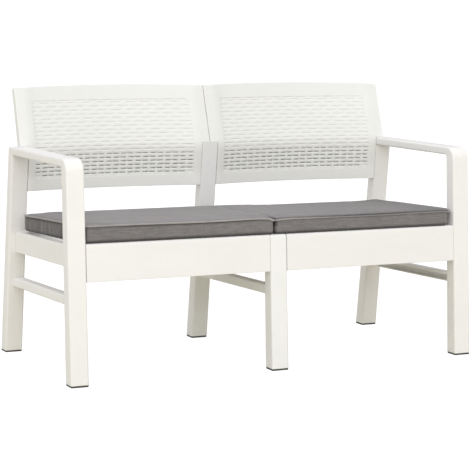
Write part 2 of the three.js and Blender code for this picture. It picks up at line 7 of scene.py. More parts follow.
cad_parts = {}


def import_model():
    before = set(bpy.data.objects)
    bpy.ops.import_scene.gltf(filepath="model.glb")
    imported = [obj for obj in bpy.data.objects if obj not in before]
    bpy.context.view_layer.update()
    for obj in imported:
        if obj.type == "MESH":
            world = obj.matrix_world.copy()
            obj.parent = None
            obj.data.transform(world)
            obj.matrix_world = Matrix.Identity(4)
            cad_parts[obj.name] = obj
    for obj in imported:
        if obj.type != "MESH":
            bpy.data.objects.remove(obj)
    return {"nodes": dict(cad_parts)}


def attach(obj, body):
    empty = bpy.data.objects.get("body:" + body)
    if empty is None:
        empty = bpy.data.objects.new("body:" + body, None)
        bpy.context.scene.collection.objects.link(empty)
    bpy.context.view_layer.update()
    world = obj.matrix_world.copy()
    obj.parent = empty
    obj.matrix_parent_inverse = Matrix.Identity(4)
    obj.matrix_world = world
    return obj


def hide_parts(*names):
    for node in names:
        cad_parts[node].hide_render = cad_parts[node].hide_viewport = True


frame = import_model()
nodes = frame["nodes"]
scene = bpy.context.scene
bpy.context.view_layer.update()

MM = 0.001
Y_SHIFT = -289.29


# ------------------------------------------------------------------ camera
def make_camera():
    az, el, roll = (math.radians(v) for v in (-25.159, 7.084, 0.387))
    back = Vector((math.sin(az) * math.cos(el), -math.cos(az) * math.cos(el), math.sin(el)))
    right = Vector((math.cos(az), math.sin(az), 0))
    up = back.cross(right)
    r = math.cos(roll) * right + math.sin(roll) * up
    u = -math.sin(roll) * right + math.cos(roll) * up
    data = bpy.data.cameras.new("camera")
    data.sensor_width = 36
    data.lens = 139.674
    data.clip_start, data.clip_end = 0.1, 100
    cam = bpy.data.objects.new("camera", data)
    scene.collection.objects.link(cam)
    m = Matrix((
        (r.x, u.x, back.x, -2.1731),
        (r.y, u.y, back.y, -4.6211),
        (r.z, u.z, back.z, 0.9697),
        (0, 0, 0, 1),
    ))
    cam.matrix_world = m
    scene.camera = cam


# -------------------------------------------------------------- node helpers
class Tree:
    def __init__(self, tree):
        self.t = tree
        self.t.nodes.clear()

    def add(self, kind, **props):
        n = self.t.nodes.new(kind)
        for k, v in props.items():
            setattr(n, k, v)
        return n

    def link(self, a, b):
        self.t.links.new(a, b)

    def math(self, op, a, b=None, c=None, clamp=False):
        n = self.add("ShaderNodeMath", operation=op, use_clamp=clamp)
        for i, v in enumerate((a, b, c)):
            if v is None:
                continue
            if isinstance(v, (int, float)):
                n.inputs[i].default_value = v
            else:
                self.link(v, n.inputs[i])
        return n.outputs[0]

    def noise(self, vector, scale, detail=2.0, rough=0.5):
        n = self.add("ShaderNodeTexNoise")
        n.inputs["Scale"].default_value = scale
        n.inputs["Detail"].default_value = detail
        n.inputs["Roughness"].default_value = rough
        if vector is not None:
            self.link(vector, n.inputs["Vector"])
        return n.outputs["Fac"]

    def remap(self, value, a, b, c, d):
        n = self.add("ShaderNodeMapRange")
        self.link(value, n.inputs["Value"])
        for name, v in zip(("From Min", "From Max", "To Min", "To Max"), (a, b, c, d)):
            n.inputs[name].default_value = v
        return n.outputs["Result"]

    def mix(self, fac, a, b):
        n = self.add("ShaderNodeMix", data_type="RGBA")
        self.link(fac, n.inputs["Factor"])
        for i, v in ((6, a), (7, b)):
            if isinstance(v, tuple):
                n.inputs[i].default_value = (*v, 1)
            else:
                self.link(v, n.inputs[i])
        return n.outputs[2]

    def stretched(self, vector, scale):
        n = self.add("ShaderNodeMapping")
        n.inputs["Scale"].default_value = scale
        self.link(vector, n.inputs["Vector"])
        return n.outputs["Vector"]

    def bump(self, height, strength, distance, normal=None):
        n = self.add("ShaderNodeBump")
        n.inputs["Strength"].default_value = strength
        n.inputs["Distance"].default_value = distance
        self.link(height, n.inputs["Height"])
        if normal is not None:
            self.link(normal, n.inputs["Normal"])
        return n.outputs["Normal"]


def material(name):
    m = bpy.data.materials.new(name)
    m.use_nodes = True
    t = Tree(m.node_tree)
    out = t.add("ShaderNodeOutputMaterial")
    p = t.add("ShaderNodeBsdfPrincipled")
    t.link(p.outputs[0], out.inputs[0])
    return m, t, p


# Moulded polypropylene: off-white, a satin spark-eroded grain, faint flow marks.
def plastic(name, light, dark, rough=(0.40, 0.52), edge=0.0012, grain=0.10, base=1.0):
    m, t, p = material(name)
    co = t.add("ShaderNodeTexCoord").outputs["Object"]
    flow = t.noise(t.stretched(co, (1.0, 1.0, 2.2)), 5.5, 3.0, 0.55)
    fine = t.noise(co, 70.0, 4.0, 0.6)
    tone = t.math("ADD", t.math("MULTIPLY", flow, 0.7), t.math("MULTIPLY", fine, 0.3))
    sep = t.add("ShaderNodeSeparateXYZ")
    t.link(co, sep.inputs[0])
    scaled = t.add("ShaderNodeVectorMath", operation="SCALE")
    t.link(t.mix(t.remap(tone, 0.35, 0.65, 0.0, 1.0), dark, light), scaled.inputs[0])
    # Painted light: below z = 0.488 m the colour is multiplied by base, so a base above 1 paints the low part
    # lighter.
    t.link(t.remap(sep.outputs[2], 0.488, 0.512, base, 1.0), scaled.inputs["Scale"])
    t.link(scaled.outputs[0], p.inputs["Base Color"])
    t.link(t.remap(t.noise(co, 38.0, 3.0, 0.6), 0.3, 0.7, rough[0], rough[1]), p.inputs["Roughness"])
    p.inputs["IOR"].default_value = 1.49
    p.inputs["Specular IOR Level"].default_value = 0.42
    bevel = t.add("ShaderNodeBevel", samples=6)
    bevel.inputs["Radius"].default_value = edge
    wavy = t.bump(t.noise(co, 14.0, 2.0, 0.5), 0.10, 0.0012, bevel.outputs["Normal"])
    t.link(t.bump(t.noise(co, 1500.0, 2.0, 0.6), grain, 0.00025, wavy), p.inputs["Normal"])
    return m


# Woven polyester, melange grey, threads about a millimetre apart.
# across sets how far the painted shade darkens the cushion's ends.
def fabric(name, light, dark, seam=False, across=0.56, sheen=0.34):
    m, t, p = material(name)
    co = t.add("ShaderNodeTexCoord").outputs["Object"]
    geo = t.add("ShaderNodeNewGeometry")
    sep = t.add("ShaderNodeSeparateXYZ")
    t.link(co, sep.inputs[0])
    nrm = t.add("ShaderNodeSeparateXYZ")
    t.link(geo.outputs["True Normal"] if "True Normal" in geo.outputs else geo.outputs["Normal"], nrm.inputs[0])
    side = t.math("GREATER_THAN", t.math("ABSOLUTE", nrm.outputs[0]), 0.7)
    flat = t.math("GREATER_THAN", t.math("ABSOLUTE", nrm.outputs[2]), 0.7)
    x, y, z = sep.outputs
    u = t.math("ADD", x, t.math("MULTIPLY", side, t.math("SUBTRACT", y, x)))
    v = t.math("ADD", z, t.math("MULTIPLY", flat, t.math("SUBTRACT", y, z)))
    wob = t.math("MULTIPLY", t.noise(co, 60.0, 2.0), 0.0006)
    pitch = 2 * math.pi / 0.0011
    su = t.math("SINE", t.math("MULTIPLY", t.math("ADD", u, wob), pitch))
    sv = t.math("SINE", t.math("MULTIPLY", t.math("ADD", v, wob), pitch))
    weave = t.math("MULTIPLY", su, sv)
    # Threads of slightly different shade, running both ways.
    warp = t.noise(t.stretched(co, (1400.0, 45.0, 45.0)), 1.0, 2.0, 0.6)
    weft = t.noise(t.stretched(co, (45.0, 1400.0, 1400.0)), 1.0, 2.0, 0.6)
    melange = t.math("ADD", t.math("MULTIPLY", warp, 0.5), t.math("MULTIPLY", weft, 0.5))
    cloud = t.noise(co, 9.0, 3.0, 0.55)
    tone = t.math("ADD", t.math("MULTIPLY", melange, 0.75), t.math("MULTIPLY", cloud, 0.25))
    slub = t.noise(t.stretched(co, (28.0, 300.0, 300.0)), 1.0, 3.0, 0.65)
    tone = t.math("ADD", t.math("MULTIPLY", tone, 0.58), t.math("MULTIPLY", slub, 0.42))
    tone = t.math("ADD", tone, t.math("MULTIPLY", weave, 0.05))
    # Painted shade: faces turned along x (the cushion's ends) are darkened by the factor across, and the fold
    # attribute adds painted shade along the seams.
    face = t.mix(t.remap(tone, 0.41, 0.59, 0.0, 1.0), dark, light)
    painted_side_shade = t.math("SUBTRACT", 1.0, t.math("MULTIPLY", t.remap(t.math("ABSOLUTE", nrm.outputs[0]), 0.80, 0.95, 0.0, 1.0), 1.0 - across))
    # Painted light: the tops darken towards +x and the other faces lighten towards +x.
    painted_light_drift = t.math("ADD", t.math("MULTIPLY", flat, t.remap(x, -0.57, 0.57, 1.06, 0.885)),
                   t.math("MULTIPLY", t.math("SUBTRACT", 1.0, flat), t.remap(x, -0.57, 0.57, 1.02, 1.06)))
    shade = t.math("MULTIPLY", painted_side_shade, painted_light_drift)
    # The fold attribute holds painted shade set on the cushion and piping meshes.
    fold = t.add("ShaderNodeAttribute", attribute_name="fold")
    shade = t.math("MULTIPLY", shade, fold.outputs["Fac"])
    scaled = t.add("ShaderNodeVectorMath", operation="SCALE")
    t.link(face, scaled.inputs[0])
    t.link(shade, scaled.inputs["Scale"])
    t.link(scaled.outputs[0], p.inputs["Base Color"])
    t.link(t.remap(melange, 0.3, 0.7, 0.84, 0.97), p.inputs["Roughness"])
    p.inputs["Specular IOR Level"].default_value = 0.25
    p.inputs["Sheen Weight"].default_value = sheen
    p.inputs["Sheen Roughness"].default_value = 0.45
    p.inputs["Sheen Tint"].default_value = (1.0, 0.97, 0.97, 1)
    soft = t.bump(t.noise(t.stretched(co, (1.0, 2.6, 2.6)), 14.0, 3.0, 0.5), 0.30 if not seam else 0.05, 0.0025)
    t.link(t.bump(weave, 0.35, 0.00022, soft), p.inputs["Normal"])
    return m


def rubber(name):
    m, t, p = material(name)
    co = t.add("ShaderNodeTexCoord").outputs["Object"]
    t.link(t.mix(t.noise(co, 40.0, 4.0), (0.045, 0.044, 0.042), (0.085, 0.083, 0.080)), p.inputs["Base Color"])
    t.link(t.remap(t.noise(co, 90.0, 3.0), 0.3, 0.7, 0.66, 0.86), p.inputs["Roughness"])
    bevel = t.add("ShaderNodeBevel", samples=4)
    bevel.inputs["Radius"].default_value = 0.0008
    t.link(t.bump(t.noise(co, 700.0, 2.0), 0.25, 0.0003, bevel.outputs["Normal"]), p.inputs["Normal"])
    return m


def zinc(name):
    m, t, p = material(name)
    co = t.add("ShaderNodeTexCoord").outputs["Object"]
    p.inputs["Metallic"].default_value = 1.0
    t.link(t.mix(t.noise(co, 300.0, 3.0), (0.52, 0.53, 0.54), (0.70, 0.70, 0.69)), p.inputs["Base Color"])
    t.link(t.remap(t.noise(co, 450.0, 3.0), 0.3, 0.7, 0.26, 0.44), p.inputs["Roughness"])
    bevel = t.add("ShaderNodeBevel", samples=4)
    bevel.inputs["Radius"].default_value = 0.0003
    t.link(t.bump(t.noise(co, 2500.0, 2.0), 0.10, 0.0001, bevel.outputs["Normal"]), p.inputs["Normal"])
    return m


PLASTIC = plastic("frame_plastic", (0.880, 0.869, 0.850), (0.855, 0.844, 0.825))
MIDDLE = plastic("middle_plastic", (0.877, 0.878, 0.866), (0.852, 0.853, 0.841))
SEAT = plastic("seat_plastic", (0.868, 0.857, 0.842), (0.843, 0.832, 0.817))
# The panel's lower band gets painted light (base=1.08) to lift its shade.
PANEL = plastic("panel_plastic", (0.838, 0.842, 0.812), (0.818, 0.822, 0.790), edge=0.0005, grain=0.07, base=1.08)
FABRIC = fabric("cushion_fabric", (0.232, 0.219, 0.220), (0.150, 0.141, 0.142), sheen=0.31)
# The piping cloth is painted lighter than the cushion cloth, a painted highlight along the seam.
PIPING = fabric("piping_fabric_painted_highlight", (0.400, 0.378, 0.374), (0.300, 0.284, 0.280), seam=True, across=0.72)
RUBBER = rubber("foot_rubber")
ZINC = zinc("zinc_screw")


# ------------------------------------------------------------- carried-over CAD
def channel(o, centre, size, slope):
    """Sinks a box-shaped channel into o: centre and size in metres, tilted along Y by slope."""
    tree = bpy.data.node_groups.new("channel", "GeometryNodeTree")
    tree.interface.new_socket(name="Geometry", in_out="INPUT", socket_type="NodeSocketGeometry")
    tree.interface.new_socket(name="Geometry", in_out="OUTPUT", socket_type="NodeSocketGeometry")
    src, out = tree.nodes.new("NodeGroupInput"), tree.nodes.new("NodeGroupOutput")
    box = tree.nodes.new("GeometryNodeMeshCube")
    box.inputs["Size"].default_value = size
    place = tree.nodes.new("GeometryNodeTransform")
    bpy.context.view_layer.update()
    at = o.matrix_world.inverted() @ Matrix.Translation(Vector(centre)) @ Matrix.Rotation(math.atan(slope), 4, "X")
    loc, rot, _ = at.decompose()
    place.inputs["Translation"].default_value = loc
    place.inputs["Rotation"].default_value = rot.to_euler("XYZ")
    cut = tree.nodes.new("GeometryNodeMeshBoolean")
    cut.operation, cut.solver = "DIFFERENCE", "EXACT"
    tree.links.new(src.outputs[0], cut.inputs["Mesh 1"])
    tree.links.new(box.outputs["Mesh"], place.inputs["Geometry"])
    tree.links.new(place.outputs[0], cut.inputs["Mesh 2"])
    tree.links.new(cut.outputs[0], out.inputs[0])
    m = o.modifiers.new("channel", "NODES")
    m.node_group = tree


# The outer stretchers are open channels on their inner sides.
STRETCHER_Y, STRETCHER_LEN, STRETCHER_FALL = 281.5, 447.0, -0.027
CHANNEL_LOW, CHANNEL_HIGH, CHANNEL_DEEP = 200.6, 216.6, 22.0


def dress(node, mat, smooth=True):
    o = nodes[node]
    o.data.materials.clear()
    o.data.materials.append(mat)
    if not smooth:
        return
    o.data.polygons.foreach_set("use_smooth", np.ones(len(o.data.polygons), bool))
    weld = o.modifiers.new("weld", "WELD")
    weld.merge_threshold = 0.00002
    if node.endswith("arm_frame"):
        side = -1 if node.startswith("left") else 1
        inner = 555.0
        channel(o, (side * (inner - 2 + CHANNEL_DEEP / 2 + 1) * MM, (STRETCHER_Y + Y_SHIFT) * MM, (CHANNEL_LOW + CHANNEL_HIGH) / 2 * MM),
                ((CHANNEL_DEEP + 2) * MM, STRETCHER_LEN * MM, (CHANNEL_HIGH - CHANNEL_LOW) * MM), STRETCHER_FALL)
    split = o.modifiers.new("split", "EDGE_SPLIT")
    split.split_angle = math.radians(38)
    wn = o.modifiers.new("weighted", "WEIGHTED_NORMAL")
    wn.mode = "FACE_AREA"
    wn.weight = 80


for name in nodes:
    if "screw" in name:
        dress(name, ZINC)
    elif name.startswith("foot_"):
        dress(name, RUBBER)
    elif name.endswith("seat"):
        dress(name, SEAT)
    elif name.endswith("frame"):
        dress(name, MIDDLE if name.startswith("centre") else PLASTIC)


def new_object(name, verts, faces, mats, smooth_angle=None):
    me = bpy.data.meshes.new(name)
    verts = np.asarray(verts, np.float32)
    me.vertices.add(len(verts))
    me.vertices.foreach_set("co", verts.ravel())
    sizes = np.array([len(f) for f in faces], np.int32) if not isinstance(faces, np.ndarray) else None
    if sizes is None:
        loops = faces.astype(np.int32).ravel()
        sizes = np.full(len(faces), faces.shape[1], np.int32)
    else:
        loops = np.concatenate([np.asarray(f, np.int32) for f in faces])
    starts = np.concatenate([[0], np.cumsum(sizes)[:-1]]).astype(np.int32)
    me.loops.add(len(loops))
    me.loops.foreach_set("vertex_index", loops)
    me.polygons.add(len(sizes))
    me.polygons.foreach_set("loop_start", starts)
    me.polygons.foreach_set("use_smooth", np.ones(len(sizes), bool))
    me.update(calc_edges=True)
    me.validate()
    for m in mats:
        me.materials.append(m)
    if smooth_angle:
        me.set_sharp_from_angle(angle=math.radians(smooth_angle))
    o = bpy.data.objects.new(name, me)
    scene.collection.objects.link(o)
    return o


# ------------------------------------------------------------------ backrests
# The front face follows the posts, then bends back.  s is the length measured
# up along it from the lower edge, in mm.
REAR_Y0, REAR_LEAN = 537.1, -0.1245
BEND_Z, BEND_W, RECLINE = 580.0, 16.0, 0.345
BACK_BOTTOM, BACK_TOP = 460.6, 746.5
ARCH_TOP, TOP_FALL = 4.6, 2.2
BOW, BOW_EASE = 35.0, 0.15     # curve in plan
X_IN_UP, X_OUT_UP = 0.8, 574.8
X_IN_LOW, X_OUT_LOW = 25.35, 549.9
SHOULDER_Z = 586.1
FIELD_X = (48.0, 527.5)
FIELD_S = (32.0, 257.4)
STAKE_0, STAKE_PITCH, STAKES = 67.0, 22.1, 21
WIDE, NARROW = 4.2, 2.1        # half widths of the bridges and of the bare stakes
# Lines between the strands, from the lowest one up; the first ones are open slots.
ROWS = [41.6, 52.6, 63.6, 74.9, 85.9, 97.1, 109.0, 120.4, 131.7, 143.2, 154.7, 166.2,
        178.0, 189.7, 201.2, 213.2, 225.0, 236.7, 248.4, 255.6]
SLOT_H = [1.34, 1.34, 1.34, 1.34, 1.25, 0.88]
OPEN_ROWS = len(SLOT_H)
GROOVES = [2.0, 1.8] + [1.5] * 11 + [1.3]
GROOVE_H = 0.40         # half width of a blind groove's floor


def bow(x):
    half = (X_OUT_LOW - X_IN_LOW) / 2
    u = np.clip(1 - np.abs(np.abs(x) - X_IN_LOW - half) / half, 0, None)
    e, q = BOW_EASE, u / BOW_EASE
    near = e * (2 - e) * (3 * q ** 2 - 2 * q ** 3) + 2 * e * (1 - e) * (q ** 3 - q ** 2)
    return BOW * np.where(u >= e, u * (2 - u), near)


def back_face(z):
    z = np.asarray(z, float)
    low = REAR_Y0 + REAR_LEAN * z
    high = REAR_Y0 + REAR_LEAN * BEND_Z + RECLINE * (z - BEND_Z)
    z0 = BEND_Z - BEND_W
    mid = REAR_Y0 + REAR_LEAN * z + (RECLINE - REAR_LEAN) * (z - z0) ** 2 / (4 * BEND_W)
    return np.where(z <= z0, low, np.where(z >= BEND_Z + BEND_W, high, mid))


_z = np.arange(440.0, 780.0, 0.25)
_y = back_face(_z)
_s = np.concatenate([[0], np.cumsum(np.hypot(np.diff(_y), np.diff(_z)))])
_s -= np.interp(BACK_BOTTOM, _z, _s)
_ty, _tz = np.gradient(_y, _s), np.gradient(_z, _s)


def s_of(z):
    return np.interp(z, _z, _s)


def z_of(s):
    return np.interp(s, _s, _z)


def back_depth(z):
    """Depth of the panel behind its front face, along Y."""
    low = np.interp(z, [440, 556, 574, SHOULDER_Z], [20.0, 20.0, 22.2, 27.0])
    up = np.interp(z, [SHOULDER_Z, BACK_TOP + ARCH_TOP], [27.0, 17.5])
    return np.where(z < SHOULDER_Z, low, up)


def smooth(t):
    t = np.clip(t, 0, 1)
    return t * t * (3 - 2 * t)


def panel(side, name, node):
    s_sh = float(s_of(SHOULDER_Z))
    near = [0.0, 0.12, 0.45, 1.0, 1.6]
    # Lines across X.
    xs = [X_IN_UP + d for d in near] + [5.5, 9.0, 15.0, 21.0]
    xs += [X_IN_LOW + d for d in near] + [31.0, 36.0, 41.0, 45.0, 47.0]
    stakes = [STAKE_0 + STAKE_PITCH * k for k in range(STAKES)]
    first, last = FIELD_X[0] + 1.4, FIELD_X[1] - 1.4
    xs += [FIELD_X[0], first, (2 * first + stakes[0] - WIDE) / 3, (first + 2 * (stakes[0] - WIDE)) / 3]
    for k, c in enumerate(stakes):
        xs += [c - WIDE, c - NARROW, c, c + NARROW, c + WIDE]
        if k < STAKES - 1:
            xs += [c + WIDE + (STAKE_PITCH - 2 * WIDE) * i / 4 for i in (1, 2, 3)]
    a = stakes[-1] + WIDE
    xs += [a + (last - a) * i / 3 for i in (1, 2, 3)] + [FIELD_X[1]]
    xs += [528.7, 532.0, 537.0, 543.0] + [X_OUT_LOW - d for d in near[::-1]]
    xs += [556.0, 562.0, 568.0, 571.0] + [X_OUT_UP - d for d in near[::-1]]
    xs = np.array(xs)
    assert (np.diff(xs) > 1e-6).all()

    # Lines up the face: kind 0 bottom border, 1 field, 2 top border.
    lines = [(0, v) for v in near + [6.0, 14.0, 22.0, 29.0, 31.2]]
    frac = [0.0, 0.06, 0.18, 0.36, 0.64, 0.82, 0.94, 1.0]
    slot_rows = []
    lo = FIELD_S[0]
    for i, c in enumerate(ROWS):
        h = SLOT_H[i] if i < OPEN_ROWS else GROOVE_H
        hi = c - h
        lines += [(1, lo + (hi - lo) * f) for f in frac]
        slot_rows.append(len(lines) - 1)
        lo = c + h
    lines += [(1, lo + (FIELD_S[1] - lo) * f) for f in (0.0, 0.35, 0.7, 1.0)]
    top_span = float(s_of(BACK_TOP)) - FIELD_S[1]
    lines += [(2, v) for v in [top_span - 1.2, top_span - 4.0, 24.0, 15.0, 8.0, 4.0] + near[::-1]]

    def arch(x, a, b):
        return 1 - ((2 * (x - a)) / (b - a) - 1) ** 2

    s_bot = np.zeros(len(xs))
    s_top = s_of(BACK_TOP - TOP_FALL * xs / X_OUT_UP + ARCH_TOP * arch(xs, X_IN_UP, X_OUT_UP))
    ni, nj = len(xs), len(lines)
    S = np.zeros((nj, ni))
    for j, (kind, v) in enumerate(lines):
        if kind == 0:
            S[j] = s_bot + (FIELD_S[0] - s_bot) * (v / FIELD_S[0])
        elif kind == 1:
            S[j] = v
        else:
            S[j] = s_top - (s_top - FIELD_S[1]) * (v / top_span)
    # The shoulder needs a line of its own: the nearest strand line moves onto it.
    js = int(np.argmin([abs(v - s_sh) if kind == 1 else 1e9 for kind, v in lines]))
    S[js] = s_sh
    X = np.tile(xs, (nj, 1))

    # Distance to the outline.
    low = np.minimum.reduce([X - X_IN_LOW, X_OUT_LOW - X, S - s_bot[None, :]])
    up = np.minimum.reduce([X - X_IN_UP, X_OUT_UP - X, s_top[None, :] - S])
    ear = (X < X_IN_LOW) | (X > X_OUT_LOW)
    corner = np.minimum(np.hypot(X - X_IN_LOW, S - s_sh), np.hypot(X - X_OUT_LOW, S - s_sh))
    up = np.minimum(up, np.where(ear, S - s_sh, corner))
    J = np.arange(nj)[:, None] * np.ones((1, ni), int)
    D = np.clip(np.where(J < js, low, up), 0, None)

    # Relief of the woven field, in mm behind the panel's face.
    depth = np.zeros((nj, ni))
    fs = np.array(ROWS)
    near_row = np.abs(S[..., None] - fs).argmin(-1)
    off_row = np.abs(S - fs[near_row])
    xi = (X - STAKE_0) / STAKE_PITCH
    # In each line the strands are bridged at every other stake, in brick order.
    k_even = np.clip(2 * np.round(xi / 2), 0, STAKES - 1)
    k_odd = np.clip(2 * np.round((xi - 1) / 2) + 1, 1, STAKES - 2)
    to_even = np.abs(X - (STAKE_0 + STAKE_PITCH * k_even))
    to_odd = np.abs(X - (STAKE_0 + STAKE_PITCH * k_odd))
    to_bridge = np.where(near_row % 2 == 0, to_even, to_odd)
    opened = near_row < OPEN_ROWS
    free = smooth(np.where(opened, (to_bridge - WIDE + 0.9) / 2.6, (to_bridge - WIDE) / 5.0))
    h = np.array(SLOT_H + [GROOVE_H] * (len(ROWS) - OPEN_ROWS))[near_row]
    u = np.clip(1 - (off_row - h) / (5.6 - h), 0, 1)
    edge = 1.2 * u ** 3.2
    groove = np.array([0.0] * OPEN_ROWS + GROOVES)[near_row] * np.exp(-(np.clip(off_row - GROOVE_H, 0, None) / 1.15) ** 2)
    strand = np.searchsorted(fs, S)
    wave = np.cos(np.pi * (xi + strand))
    relief = 0.50 - 0.12 * wave + np.where(opened, edge, groove) * free
    R = 13.0
    # Rounded top corners of the field, and a soft step down from the border.
    fx = np.minimum(X - FIELD_X[0], FIELD_X[1] - X)
    ft = FIELD_S[1] - S
    inside = np.minimum(fx, np.minimum(ft, S - FIELD_S[0]))
    cx, ct = R - fx, R - ft
    inside = np.where((cx > 0) & (ct > 0), R - np.hypot(cx, ct), inside)
    blend = smooth(inside / 1.3)
    relief_f = relief * blend
    depth += relief_f

    def round_edge(R):
        d = np.clip(R - D, 0, R)
        return R - np.sqrt(np.clip(R * R - d * d, 0, None))

    front = depth + round_edge(1.5)
    back = relief_f * 0.85 + 1.2 * smooth(inside / 6.0) + round_edge(1.6)

    # Rounded corners in the outline, seen from the front.
    XX, SS = X.copy(), S.copy()
    for xe, sx, rc in ((X_OUT_UP, -1, 4.0), (X_IN_UP, 1, 2.0)):
        a, b = (X - xe) * sx, s_top[None, :] - S
        m_ = (a < rc) & (b < rc) & (J > js)
        vx, vy = rc - a, rc - b
        big = np.maximum(vx, vy)
        ln = np.hypot(vx, vy)
        f = np.where(m_, big / np.maximum(ln, 1e-9), 1.0)
        XX = np.where(m_, xe + sx * (rc - vx * f), XX)
        SS = np.where(m_, s_top[None, :] - (rc - vy * f), SS)

    Z = z_of(SS)
    Y = back_face(Z)
    ty, tz = np.interp(SS, _s, _ty), np.interp(SS, _s, _tz)
    n = np.hypot(ty, tz)
    ty, tz = ty / n, tz / n
    # Inward normal is (tz, -ty) in (y, z).
    back_by = bow(XX)
    fY, fZ = Y + back_by + front * tz, Z - front * ty
    flat_edge = (J == js) & ear | (D < 1e-6) & (J > js)
    fZ = np.where((J == js) & ear, SHOULDER_Z, fZ)
    shift = 2.7 * smooth((SS - 12) / 26.0) * smooth((118.0 - SS) / 12.0)
    bZ = Z + shift
    bY = back_face(Z) + back_by + back_depth(Z) - back
    P = np.stack([XX, fY, fZ], -1).reshape(-1, 3)
    Q = np.stack([XX, bY, bZ], -1).reshape(-1, 3)

    # Which cells hold plastic.
    full = np.ones((nj - 1, ni - 1), bool)
    xc = (xs[:-1] + xs[1:]) / 2
    full[:js, (xc < X_IN_LOW) | (xc > X_OUT_LOW)] = False
    for i in range(OPEN_ROWS):
        lo, hi = (stakes[0], stakes[-1]) if i == 0 else (first, last)
        slot = (xc > lo) & (xc < hi)
        for k, c in enumerate(stakes):
            slot &= np.abs(xc - c) > (WIDE if (i + k) % 2 == 0 else NARROW)
        full[slot_rows[i], slot] = False

    idx = np.arange(nj * ni).reshape(nj, ni)
    a, b, c_, d = idx[:-1, :-1], idx[:-1, 1:], idx[1:, 1:], idx[1:, :-1]
    quads = np.stack([a, b, c_, d], -1)[full]
    off = nj * ni
    faces = [quads, quads[:, ::-1] + off]
    # Walls wherever a cell has no neighbour.
    pad = np.pad(full, 1)
    walls = []
    for (dj, di), (p, q) in {(-1, 0): (a, b), (0, 1): (b, c_), (1, 0): (c_, d), (0, -1): (d, a)}.items():
        other = pad[1 + dj: pad.shape[0] - 1 + dj, 1 + di: pad.shape[1] - 1 + di]
        e = full & ~other
        walls.append(np.stack([q[e], p[e], p[e] + off, q[e] + off], -1))
    faces += walls
    faces = np.concatenate(faces)
    verts = np.concatenate([P, Q])

    # Tongues that run down the posts' grooves.
    extra = []
    for x0, x1 in ((X_IN_LOW - 10.2, X_IN_LOW + 4), (X_OUT_LOW - 4, X_OUT_LOW + 10.2)):
        z0, z1 = BACK_BOTTOM + 1.5, SHOULDER_Z + 3
        base = len(verts)
        ring = []
        for z in (z0, z1):
            y0 = REAR_Y0 + REAR_LEAN * z + 9
            for x, y in ((x0, y0), (x1, y0), (x1, y0 + 8), (x0, y0 + 8)):
                ring.append((x, y, z))
        verts = np.concatenate([verts, ring])
        for f in ((0, 3, 2, 1), (4, 5, 6, 7), (0, 1, 5, 4), (1, 2, 6, 5), (2, 3, 7, 6), (3, 0, 4, 7)):
            extra.append([base + v for v in f])
    faces = np.concatenate([faces, extra])
    used = np.unique(faces)
    remap = np.full(len(verts), -1)
    remap[used] = np.arange(len(used))
    verts, faces = verts[used], remap[faces]
    verts = verts + np.array([0, Y_SHIFT, 0])
    verts[:, 0] *= side
    if side < 0:
        faces = faces[:, ::-1]
    o = new_object(name, verts * MM, faces, [PANEL], 48)
    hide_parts(node)
    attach(o, "bench")
    return o


# ------------------------------------------------------------------- cushions
RAIL_TOP, SEAT_SLOPE, DECK_GAP, DECK_T = 363.4, -0.0304, 0.3, 4.7
CUSHION_FRONT, CUSHION_BACK, CUSHION_T = 24.0, 458.0, 46.0
THETA = math.atan(-SEAT_SLOPE)


def bounds_line(values, step):
    out = [values[0]]
    for a, b in zip(values, values[1:]):
        n = max(1, round((b - a) / step))
        out += [a + (b - a) * i / n for i in range(1, n + 1)]
    return np.array(out)


